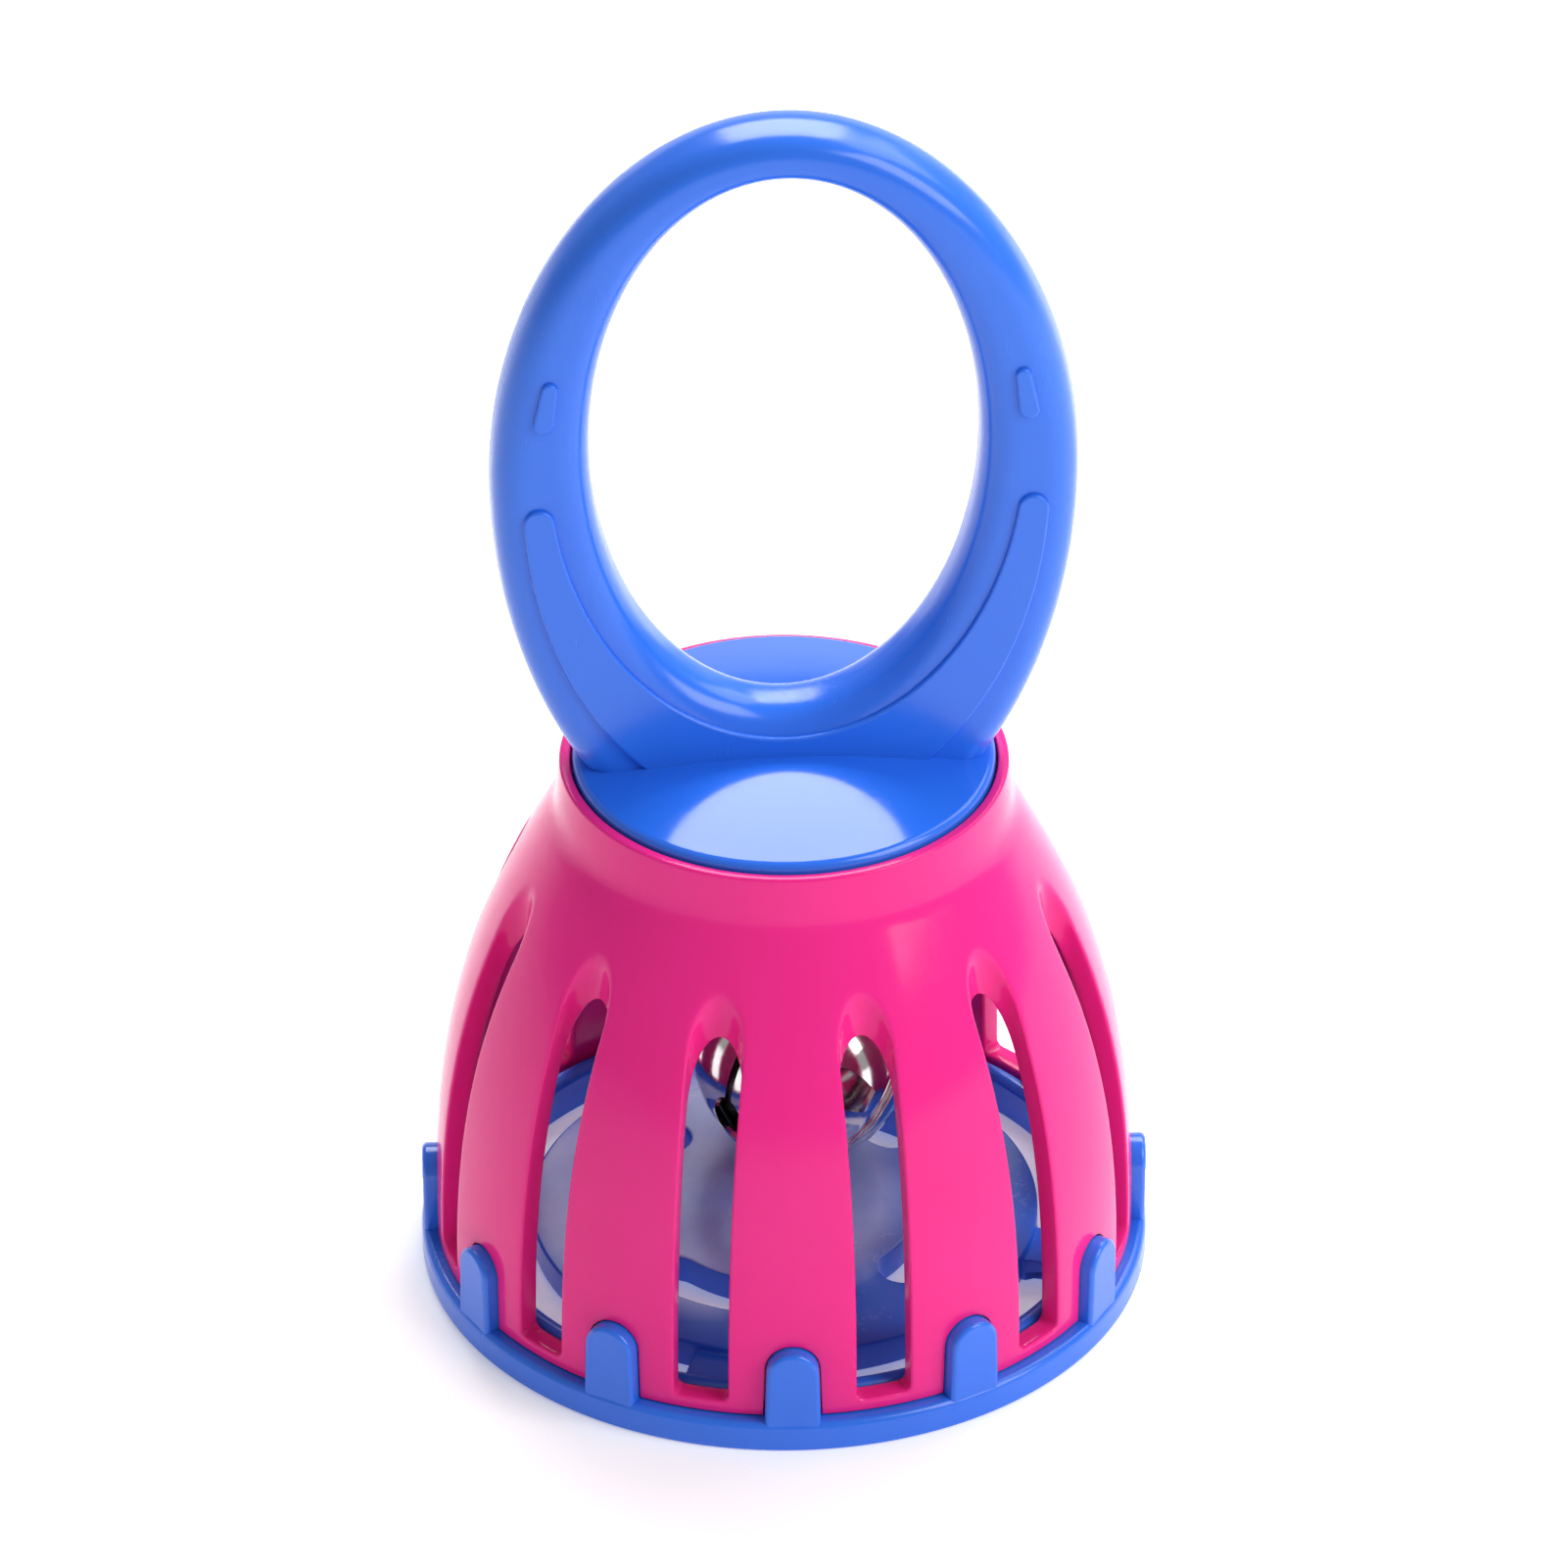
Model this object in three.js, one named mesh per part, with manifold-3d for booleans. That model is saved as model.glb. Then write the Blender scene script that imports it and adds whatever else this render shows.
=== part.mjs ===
// Baby rattle: a moulded hand ring and cap, a slotted cage, a clipped-on base, and a loose jingle bell
// inside. Millimetres, +Z up. The origin is the centre of the base's underside, and the hand ring
// stands in the XZ plane.

import * as THREE from 'three';
import { mergeVertices } from 'three/addons/utils/BufferGeometryUtils.js';
import Module from 'manifold-3d';

const wasm = await Module();
wasm.setup();

// ---------------------------------------------------------------- driving dimensions

const GAP = 0.3; // clearance left between pieces that touch
const TURN = THREE.MathUtils.degToRad(-2.3); // the cage and base sit turned a little against the handle
const RIBS = 12;
const PITCH = (2 * Math.PI) / RIBS;
const ROUND_STEPS = 60; // facets round the big turned pieces

// base
const BASE_R = 40;
const RIM_HEIGHT = 3.4;
const RIM_EDGE = 0.9; // rounding of the rim's outer edges
const RIM_INNER_R = 33.3;
const UPSTAND_R = 35.4; // outside of the low wall that fits inside the cage
const UPSTAND_TOP = 4.9;
const RIM_UNDER = 1.2; // the ring's flat foot is this thick beside the upstand
const TAB_WIDTH = 5.9;
const TAB_TOP = 12.5;
const TAB_INNER_R = 37.6;
const TAB_OUTER_R = 39.8;
const FLOOR_R = 28;
const FLOOR_TOP = 4.5;
const FLOOR_UNDER = 1.0;
const SPOKES = 4;
const SPOKE_WIDTH = 6.4;
const SOUND_SLOT_R = 18;
const SOUND_SLOT_WIDTH = 6;
const SOUND_SLOT_REACH = THREE.MathUtils.degToRad(29); // from the middle of a slot to its end's centre
const FLOOR_PHASE = THREE.MathUtils.degToRad(-15); // spokes and sound slots against the tabs

// cage
const CAGE_R = 38.4;
const CAGE_WALL = 2.6;
const CAGE_BOTTOM = RIM_HEIGHT + GAP;
const DOME_START = 6;
const DOME_RISE = 27; // how long the wall stays nearly upright, as the curve's first handle
const SHOULDER_R = 31.9;
const SHOULDER_Z = 44.6;
const COLLAR_FOOT_R = 25.6;
const COLLAR_FOOT_Z = 56.2;
const COLLAR_R = 24.2;
const COLLAR_TOP = 63.4;
const COLLAR_BORE_R = 23.05;
const NECK_R = 20.9; // the bore that the handle's plug passes through
const NECK_TOP = 60.1;
const NECK_BOTTOM = 55;
const SLOT_WIDTH = 6;
const SLOT_SILL = 5;
const SLOT_REACH_R = 28.4; // how near the axis the round nose of each slot's cutter comes
const TAB_POCKET_DEPTH = 1.1;

// handle
const CAP_R = COLLAR_BORE_R - 0.35;
const CAP_UNDER = NECK_TOP + GAP;
const CAP_EDGE = 64.4;
const CAP_ROUND = 0.7;
const CAP_DOME = 2.2; // how far the middle of the cap stands above its edge
const PLUG_R = NECK_R - GAP;
const PLUG_WALL = 2.2;
const PLUG_BOTTOM = 53.2;
const SNAP_BEAD_R = NECK_R + 0.55;
const SNAP_BEAD_TOP = NECK_BOTTOM - 0.4;
const RING_DEPTH = 9;
const RING_ROUND = 2.6; // rounding of the ring's section
const RING_MIDDLE_Z = 99.4; // where the ring is widest
const RING_HALF_WIDTH = 31.2;
const RING_UPPER = 42.5; // from the widest place to the top
const RING_LOWER = 49; // the lower half's long half-axis, which the cap cuts short
const RING_FOOT_Z = 61.5; // inside the cap
const HOLE_Z = 103.8;
const HOLE_HALF_WIDTH = 20.5;
const HOLE_HALF_HEIGHT = 32.3;
const RELIEF = 0.6; // height of the raised details on the ring
const BAND_INNER_HALF = [HOLE_HALF_WIDTH + 4.5, HOLE_HALF_HEIGHT + 2.8]; // half-axes of the raised band's edges
const BAND_OUTER_HALF = [RING_HALF_WIDTH - 3.4, RING_LOWER - 8.4];
const BAND_TIP_Z = 96.6; // the height where the band's round tips begin
const BAND_FOOT_Z = CAP_EDGE - 2;
const MARK_TOP = { x: 24.85, z: 112.95, radius: 0.85 }; // the round ends of the raised marks
const MARK_FOOT = { x: 25.5, z: 108.8, radius: 1.1 };

// bell
const BELL_R = 12;
const BELL_WALL = 0.6;
const BELL_PLACE = [2.7, 10.6, FLOOR_TOP + GAP + BELL_R];
const BELL_SEAM = 0.3; // gap between the two shells
const BELL_FLANGE_R = BELL_R + 0.35; // the low rolled seam round the bell
const BELL_SLOT_WIDTH = 0.9;
const BELL_SLOT_HOLE_R = 2.2;
const BELL_SLOT_REACH = THREE.MathUtils.degToRad(56); // from the bell's pole to a slot's end
const BELL_FACE = new THREE.Vector3(-0.5, -0.58, 0.64).normalize(); // the way the slotted shell faces
const BELL_ARM = new THREE.Vector3(-0.73, -0.66, -0.15); // towards the end of one of its slots
const LOOP_R = 2.2;
const LOOP_WIRE_R = 0.6;
const PELLET_R = 2.75;

// ---------------------------------------------------------------- solids

// A closed geometry as a solid, with only its positions kept and its shared vertices merged.
function solid(geometry) {
  const bare = geometry.index ? geometry.toNonIndexed() : geometry.clone();
  bare.deleteAttribute('normal');
  bare.deleteAttribute('uv');
  const merged = mergeVertices(bare, 1e-5);
  const index = merged.index.array;
  const corners = [];
  for (let i = 0; i < index.length; i += 3) {
    const [a, b, c] = [index[i], index[i + 1], index[i + 2]];
    if (a !== b && b !== c && c !== a) corners.push(a, b, c);
  }
  return new wasm.Manifold(new wasm.Mesh({
    numProp: 3,
    vertProperties: new Float32Array(merged.attributes.position.array),
    triVerts: new Uint32Array(corners),
  }));
}

function joined(solids) {
  return solids.reduce((whole, next) => whole.add(next));
}

function piece(name, shape, material) {
  const { numProp, vertProperties, triVerts } = shape.getMesh();
  const geometry = new THREE.BufferGeometry();
  const positions = new Float32Array((vertProperties.length / numProp) * 3);
  for (let i = 0; i < positions.length / 3; i += 1) {
    positions.set(vertProperties.subarray(i * numProp, i * numProp + 3), i * 3);
  }
  geometry.setAttribute('position', new THREE.BufferAttribute(positions, 3));
  geometry.setIndex([...triVerts]);
  geometry.computeVertexNormals();
  const mesh = new THREE.Mesh(geometry, material);
  mesh.name = name;
  return mesh;
}

// Points given as [radius, height], turned about Z.
function turned(points, steps = ROUND_STEPS) {
  const profile = points.map(([r, z]) => new THREE.Vector2(r, z));
  return solid(new THREE.LatheGeometry(profile, steps).rotateX(Math.PI / 2));
}

function quarter(cx, cz, radius, from, to, steps = 3) {
  const points = [];
  for (let i = 0; i <= steps; i += 1) {
    const angle = from + ((to - from) * i) / steps;
    points.push([cx + radius * Math.cos(angle), cz + radius * Math.sin(angle)]);
  }
  return points;
}

// An outline in the XY plane, raised from z = low to z = high.
function raised(shape, low, high, curveSegments = 8) {
  const geometry = new THREE.ExtrudeGeometry(shape, { depth: high - low, bevelEnabled: false, curveSegments });
  return solid(geometry.translate(0, 0, low));
}

// Copies of a solid at even steps round the axis.
function round(shape, count, phase = 0) {
  const copies = [];
  for (let i = 0; i < count; i += 1) {
    copies.push(shape.rotate([0, 0, THREE.MathUtils.radToDeg(phase + (i * 2 * Math.PI) / count)]));
  }
  return copies;
}

// A rectangle with a round end towards the axis, pointing out along -Y.
function fingerShape(width, nose, far) {
  const half = width / 2;
  const shape = new THREE.Shape();
  shape.moveTo(-half, -far);
  shape.lineTo(half, -far);
  shape.lineTo(half, -nose - half);
  shape.absarc(0, -nose - half, half, 0, Math.PI, false);
  shape.closePath();
  return shape;
}

// ---------------------------------------------------------------- base

function tabOutline(grow) {
  const half = TAB_WIDTH / 2 + grow;
  const shape = new THREE.Shape();
  shape.moveTo(-half, 0);
  shape.lineTo(half, 0);
  shape.lineTo(half, TAB_TOP - TAB_WIDTH / 2);
  shape.absarc(0, TAB_TOP - TAB_WIDTH / 2, half, 0, Math.PI, false);
  shape.closePath();
  return shape;
}

// Tab-shaped bars that cross the wall at every rib.
function tabBars(grow) {
  const bar = new THREE.ExtrudeGeometry(tabOutline(grow), { depth: 12, bevelEnabled: false, curveSegments: 5 });
  bar.rotateX(Math.PI / 2).translate(0, -32, 0);
  return joined(round(solid(bar), RIBS));
}

function arcSlot() {
  const start = -Math.PI / 2 - SOUND_SLOT_REACH;
  const end = -Math.PI / 2 + SOUND_SLOT_REACH;
  const half = SOUND_SLOT_WIDTH / 2;
  const at = (angle) => [SOUND_SLOT_R * Math.cos(angle), SOUND_SLOT_R * Math.sin(angle)];
  const shape = new THREE.Shape();
  shape.absarc(0, 0, SOUND_SLOT_R + half, start, end, false);
  shape.absarc(...at(end), half, end, end + Math.PI, false);
  shape.absarc(0, 0, SOUND_SLOT_R - half, end, start, true);
  shape.absarc(...at(start), half, start + Math.PI, start + 2 * Math.PI, false);
  return raised(shape, FLOOR_UNDER - 1, FLOOR_TOP + 1, 7);
}

function makeBase() {
  const upstandMiddle = (RIM_INNER_R + UPSTAND_R) / 2;
  const upstandRound = (UPSTAND_R - RIM_INNER_R) / 2;
  const ring = turned([
    [RIM_INNER_R, 0],
    [BASE_R - 0.4, 0],
    [BASE_R, 0.4],
    ...quarter(BASE_R - RIM_EDGE, RIM_HEIGHT - RIM_EDGE, RIM_EDGE, 0, Math.PI / 2),
    [UPSTAND_R, RIM_HEIGHT],
    ...quarter(upstandMiddle, UPSTAND_TOP - upstandRound, upstandRound, 0, Math.PI, 4),
    [RIM_INNER_R, 0],
  ]);
  const tabRing = turned([
    [TAB_INNER_R, RIM_UNDER],
    [TAB_OUTER_R, RIM_UNDER],
    [TAB_OUTER_R, TAB_TOP - 0.8],
    [TAB_OUTER_R - 0.8, TAB_TOP + 1],
    [TAB_INNER_R, TAB_TOP + 1],
    [TAB_INNER_R, RIM_UNDER],
  ]);
  const tabs = tabRing.intersect(tabBars(0));
  const disc = turned([[0, FLOOR_UNDER], [FLOOR_R, FLOOR_UNDER], [FLOOR_R, FLOOR_TOP], [0, FLOOR_TOP]]);
  const spoke = solid(new THREE.BoxGeometry(SPOKE_WIDTH, RIM_INNER_R - FLOOR_R + 3, RIM_HEIGHT - FLOOR_UNDER)
    .translate(0, -(RIM_INNER_R + FLOOR_R) / 2, (RIM_HEIGHT + FLOOR_UNDER) / 2));
  const floor = joined([disc, ...round(spoke, SPOKES, FLOOR_PHASE)])
    .subtract(joined(round(arcSlot(), SPOKES, FLOOR_PHASE)));
  return joined([ring, tabs, floor]);
}

// ---------------------------------------------------------------- cage

function domeCurve(inset) {
  const curve = new THREE.CubicBezierCurve(
    new THREE.Vector2(CAGE_R - inset, DOME_START),
    new THREE.Vector2(CAGE_R - inset, DOME_START + DOME_RISE),
    new THREE.Vector2(SHOULDER_R - inset, SHOULDER_Z),
    new THREE.Vector2(COLLAR_FOOT_R - inset * 0.72, COLLAR_FOOT_Z - inset * 0.72),
  );
  return curve.getPoints(9).map((point) => [point.x, point.y]);
}

function makeCage() {
  const outside = domeCurve(0);
  const inside = domeCurve(CAGE_WALL).filter(([r, z]) => r > NECK_R + 1.5 && z < NECK_BOTTOM - 0.6);
  const body = turned([
    [CAGE_R - CAGE_WALL, CAGE_BOTTOM],
    [CAGE_R, CAGE_BOTTOM],
    ...outside,
    [COLLAR_R + 0.35, COLLAR_FOOT_Z + 1.6],
    [COLLAR_R, COLLAR_TOP - 0.4],
    [COLLAR_R - 0.4, COLLAR_TOP],
    [COLLAR_BORE_R, COLLAR_TOP],
    [COLLAR_BORE_R, NECK_TOP],
    [NECK_R, NECK_TOP],
    [NECK_R, NECK_BOTTOM],
    ...inside.reverse(),
    [CAGE_R - CAGE_WALL, CAGE_BOTTOM],
  ]);
  const finger = raised(fingerShape(SLOT_WIDTH, SLOT_REACH_R, BASE_R + 5), SLOT_SILL, COLLAR_TOP, 6);
  const pocketRing = turned([
    [CAGE_R - TAB_POCKET_DEPTH, CAGE_BOTTOM - 1],
    [CAGE_R + 3, CAGE_BOTTOM - 1],
    [CAGE_R + 3, TAB_TOP + 3],
    [CAGE_R - TAB_POCKET_DEPTH, TAB_TOP + 3],
    [CAGE_R - TAB_POCKET_DEPTH, CAGE_BOTTOM - 1],
  ]);
  const pockets = pocketRing.intersect(tabBars(GAP));
  return body.subtract(joined([...round(finger, RIBS, PITCH / 2), pockets]));
}

// ---------------------------------------------------------------- handle

// Points of an ellipse's arc in the ring's plane, x across and z up.
function ellipseArc(centreZ, halfX, halfZ, from, to, steps) {
  const points = [];
  for (let i = 0; i <= steps; i += 1) {
    const angle = from + ((to - from) * i) / steps;
    points.push(new THREE.Vector2(halfX * Math.cos(angle), centreZ + halfZ * Math.sin(angle)));
  }
  return points;
}

function ringOutline() {
  const foot = Math.asin((RING_MIDDLE_Z - RING_FOOT_Z) / RING_LOWER);
  const upper = ellipseArc(RING_MIDDLE_Z, RING_HALF_WIDTH, RING_UPPER, 0, Math.PI, 26);
  const left = ellipseArc(RING_MIDDLE_Z, RING_HALF_WIDTH, RING_LOWER, Math.PI, Math.PI + foot, 8).slice(1);
  const right = ellipseArc(RING_MIDDLE_Z, RING_HALF_WIDTH, RING_LOWER, -foot, 0, 8).slice(0, -1);
  const shape = new THREE.Shape([...upper, ...left, ...right]);
  const hole = ellipseArc(HOLE_Z, HOLE_HALF_WIDTH, HOLE_HALF_HEIGHT, 0, 2 * Math.PI, 38).slice(0, -1);
  shape.holes.push(new THREE.Path(hole));
  return shape;
}

// Turns an outline drawn with x across and y up so that it stands in the XZ plane, middle at y = 0.
function upright(geometry, depth) {
  return solid(geometry.translate(0, 0, -depth / 2).rotateX(Math.PI / 2));
}

function makeRing() {
  const geometry = new THREE.ExtrudeGeometry(ringOutline(), {
    depth: RING_DEPTH - 2 * RING_ROUND,
    bevelThickness: RING_ROUND,
    bevelSize: RING_ROUND,
    bevelOffset: -RING_ROUND,
    bevelSegments: 3,
    curveSegments: 24,
  });
  return upright(geometry, RING_DEPTH - 2 * RING_ROUND);
}

// The raised mark on each side of the ring, through both faces, a little narrower at its top.
function raisedMark(side) {
  const top = quarter(side * MARK_TOP.x, MARK_TOP.z, MARK_TOP.radius, 0, Math.PI, 4);
  const foot = quarter(side * MARK_FOOT.x, MARK_FOOT.z, MARK_FOOT.radius, Math.PI, 2 * Math.PI, 4);
  return new THREE.Shape([...top, ...foot].map(([x, z]) => new THREE.Vector2(x, z)));
}

// The raised band that follows the opening's lower half and ends in round tips.
function raisedBand() {
  const innerFrom = Math.asin((HOLE_Z - BAND_TIP_Z) / BAND_INNER_HALF[1]);
  const outerFrom = Math.asin((RING_MIDDLE_Z - BAND_TIP_Z) / BAND_OUTER_HALF[1]);
  const outerTo = Math.asin((RING_MIDDLE_Z - BAND_FOOT_Z) / BAND_OUTER_HALF[1]);
  const near = BAND_INNER_HALF[0] * Math.cos(innerFrom);
  const far = BAND_OUTER_HALF[0] * Math.cos(outerFrom);
  const inner = ellipseArc(HOLE_Z, ...BAND_INNER_HALF, 1.5 * Math.PI, 2 * Math.PI - innerFrom, 10);
  const tip = quarter((near + far) / 2, BAND_TIP_Z, (far - near) / 2, Math.PI, 0, 4).slice(1, -1);
  const outer = ellipseArc(RING_MIDDLE_Z, ...BAND_OUTER_HALF, -outerFrom, -outerTo, 6);
  const right = [...inner, ...tip.map(([x, z]) => new THREE.Vector2(x, z)), ...outer];
  const left = right.slice(1).reverse().map((point) => new THREE.Vector2(-point.x, point.y));
  return new THREE.Shape([...right, ...left]);
}

function makeRelief() {
  const depth = RING_DEPTH + 2 * RELIEF;
  const shapes = [raisedMark(-1), raisedMark(1), raisedBand()];
  return shapes.map((shape) => upright(
    new THREE.ExtrudeGeometry(shape, { depth, bevelEnabled: false }),
    depth,
  ));
}

function makeCap() {
  const domeR = (CAP_R * CAP_R + CAP_DOME * CAP_DOME) / (2 * CAP_DOME);
  const dome = [];
  for (let i = 1; i <= 5; i += 1) {
    const r = ((CAP_R - CAP_ROUND) * (5 - i)) / 5;
    dome.push([r, CAP_EDGE + CAP_DOME - domeR + Math.sqrt(domeR * domeR - r * r)]);
  }
  return turned([
    [0, CAP_UNDER],
    [PLUG_R - PLUG_WALL, CAP_UNDER],
    [PLUG_R - PLUG_WALL, PLUG_BOTTOM],
    [PLUG_R, PLUG_BOTTOM],
    [SNAP_BEAD_R, SNAP_BEAD_TOP - 0.5],
    [SNAP_BEAD_R, SNAP_BEAD_TOP],
    [PLUG_R, SNAP_BEAD_TOP],
    [PLUG_R, CAP_UNDER],
    [CAP_R, CAP_UNDER],
    ...quarter(CAP_R - CAP_ROUND, CAP_EDGE - CAP_ROUND, CAP_ROUND, 0, Math.PI / 2),
    ...dome,
  ]);
}

function makeHandle() {
  return joined([makeCap(), makeRing(), ...makeRelief()]);
}

// ---------------------------------------------------------------- bell

// One shell about its own +Z pole: a hollow half ball with a low rolled seam at its open edge.
function bellShell() {
  const seam = BELL_SEAM / 2;
  const inner = BELL_R - BELL_WALL;
  const outerStart = Math.asin((seam + 0.7) / BELL_R);
  return turned([
    [Math.sqrt(inner * inner - seam * seam), seam],
    [BELL_FLANGE_R, seam],
    [BELL_FLANGE_R, seam + 0.5],
    ...quarter(0, 0, BELL_R, outerStart, Math.PI / 2, 6),
    ...quarter(0, 0, inner, Math.PI / 2, Math.asin(seam / inner), 6),
  ], 30);
}

// Two crossed slots with round ends, cut down through the pole.
function bellSlots() {
  const reach = BELL_R * Math.sin(BELL_SLOT_REACH);
  const bar = new THREE.BoxGeometry(2 * reach, BELL_SLOT_WIDTH, BELL_R);
  const bars = [solid(bar.clone().translate(0, 0, BELL_R * 0.62))];
  bars.push(bars[0].rotate([0, 0, 90]));
  const hole = solid(new THREE.CylinderGeometry(BELL_SLOT_HOLE_R, BELL_SLOT_HOLE_R, BELL_R, 12).rotateX(Math.PI / 2)
    .translate(reach, 0, BELL_R * 0.62));
  return joined([...bars, ...round(hole, 4)]);
}

function makeBellPieces() {
  const shell = bellShell();
  const slotted = shell.subtract(bellSlots()).rotate([180, 0, 0]);
  const loop = solid(new THREE.TorusGeometry(LOOP_R, LOOP_WIRE_R, 8, 20).rotateY(Math.PI / 2)
    .translate(0, 0, BELL_R + LOOP_R + LOOP_WIRE_R + GAP));
  const pellet = solid(new THREE.IcosahedronGeometry(PELLET_R, 2));
  return { shell, slotted, loop, pellet };
}

// ---------------------------------------------------------------- assembly

const bluePlastic = new THREE.MeshStandardMaterial({ color: 0x3a78e6, roughness: 0.28, metalness: 0 });
const pinkPlastic = new THREE.MeshStandardMaterial({ color: 0xe0287c, roughness: 0.25, metalness: 0 });
const chromedSteel = new THREE.MeshStandardMaterial({ color: 0xd8d4d6, roughness: 0.08, metalness: 1 });
const bareSteel = new THREE.MeshStandardMaterial({ color: 0xa8a8ac, roughness: 0.25, metalness: 1 });

const group = new THREE.Group();

const body = new THREE.Group();
body.rotation.z = TURN;
body.add(piece('base', makeBase(), bluePlastic));
body.add(piece('cage', makeCage(), pinkPlastic));
group.add(body);

group.add(piece('handle', makeHandle(), bluePlastic));

const bell = new THREE.Group();
const bellPieces = makeBellPieces();
bell.position.set(...BELL_PLACE);
const bellUp = BELL_FACE.clone().negate();
const bellAcross = new THREE.Vector3().crossVectors(bellUp, BELL_ARM).normalize();
const bellAlong = new THREE.Vector3().crossVectors(bellAcross, bellUp);
bell.quaternion.setFromRotationMatrix(new THREE.Matrix4().makeBasis(bellAlong, bellAcross, bellUp));
bell.add(piece('bell_top_shell', bellPieces.shell, chromedSteel));
bell.add(piece('bell_bottom_shell', bellPieces.slotted, chromedSteel));
bell.add(piece('bell_loop', bellPieces.loop, chromedSteel));
group.add(bell);

const pellet = piece('bell_pellet', bellPieces.pellet, bareSteel);
pellet.position.set(BELL_PLACE[0], BELL_PLACE[1], BELL_PLACE[2] - BELL_R + BELL_WALL + PELLET_R + GAP);
group.add(pellet);

export default group;
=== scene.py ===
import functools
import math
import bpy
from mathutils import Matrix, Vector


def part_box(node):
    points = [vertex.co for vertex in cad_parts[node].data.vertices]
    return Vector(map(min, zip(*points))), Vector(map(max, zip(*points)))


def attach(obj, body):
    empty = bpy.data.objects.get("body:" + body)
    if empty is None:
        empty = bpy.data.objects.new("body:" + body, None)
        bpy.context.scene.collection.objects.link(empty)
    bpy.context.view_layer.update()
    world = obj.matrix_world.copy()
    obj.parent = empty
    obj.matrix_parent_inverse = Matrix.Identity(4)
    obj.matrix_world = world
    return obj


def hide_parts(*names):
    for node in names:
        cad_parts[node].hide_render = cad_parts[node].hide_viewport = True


bl_info = {
    "name": "Cage Rattle Builder",
    "version": (1, 0, 0),
    "blender": (4, 5, 0),
    "location": "View3D > Sidebar > Rattle",
    "description": "Models the mouldings, the jingle bell, their finishes and the stage of a baby rattle",
    "category": "Object",
}

import bpy
import numpy as np
from bpy.props import FloatProperty, IntProperty, PointerProperty, StringProperty
from mathutils import Matrix, Vector

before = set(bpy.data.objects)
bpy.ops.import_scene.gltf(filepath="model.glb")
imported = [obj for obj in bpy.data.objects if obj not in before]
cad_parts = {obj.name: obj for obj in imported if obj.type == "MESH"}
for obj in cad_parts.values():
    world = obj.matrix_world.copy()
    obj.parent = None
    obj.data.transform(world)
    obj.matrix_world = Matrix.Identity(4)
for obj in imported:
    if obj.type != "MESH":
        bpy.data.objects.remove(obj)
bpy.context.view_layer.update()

MM = 0.001
TAU = 2 * math.pi
SEAM_GAP = 3e-6
SLIVER_GAP = 0.06 * MM


# ---------------------------------------------------------------- sizes from the frame


@functools.lru_cache(maxsize=None)
def low(node):
    return Vector(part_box(node)[0])


@functools.lru_cache(maxsize=None)
def high(node):
    return Vector(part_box(node)[1])


def length(name, description, default):
    return FloatProperty(name=name, description=description, default=default, unit="LENGTH", precision=5)


def angle(name, description, degrees):
    return FloatProperty(name=name, description=description, default=math.radians(degrees), subtype="ANGLE")


def colour(name, description, default):
    return StringProperty(name=name, description=description, default=default)


class RattleCageSizes(bpy.types.PropertyGroup):
    """Sizes of the slotted cage"""

    radius: length("Radius", "Outside of the upright part of the wall", high("cage").x)
    wall: length("Wall", "Thickness of the moulding", 2.6 * MM)
    slots: IntProperty(name="Slots", description="Tall slots round the cage", default=12, min=4)
    slot_width: length("Slot Width", "Width of each slot", 6 * MM)
    slot_nose: length("Slot Nose", "How near the axis the round inner end of a slot's cut comes", 28.4 * MM)
    slot_sill: length("Slot Sill", "Height of the slots' lower edge", 5 * MM)
    edge_round: length("Edge Rounding", "Rounding of the slots' edges", 0.45 * MM)
    shoulder_radius: length("Shoulder Radius", "Radius that the dome bends round", 31.9 * MM)
    shoulder_height: length("Shoulder Height", "Height that the dome bends round", 44.6 * MM)
    foot_radius: length("Collar Foot Radius", "Where the dome meets the collar", 25.6 * MM)
    foot_height: length("Collar Foot Height", "Where the dome meets the collar", 56.2 * MM)
    collar_radius: length("Collar Radius", "Outside of the collar at its rim", 24.2 * MM)
    collar_bore: length("Collar Bore", "Radius of the hole that the cap sits in", 23.0 * MM)
    neck_radius: length("Neck Radius", "Radius of the hole that the plug passes", 20.9 * MM)
    neck_top: length("Neck Top", "Height of the ledge under the cap", 60.1 * MM)
    turn: angle("Turn", "How far the cage and base sit turned against the hand ring", -2.3)


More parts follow.
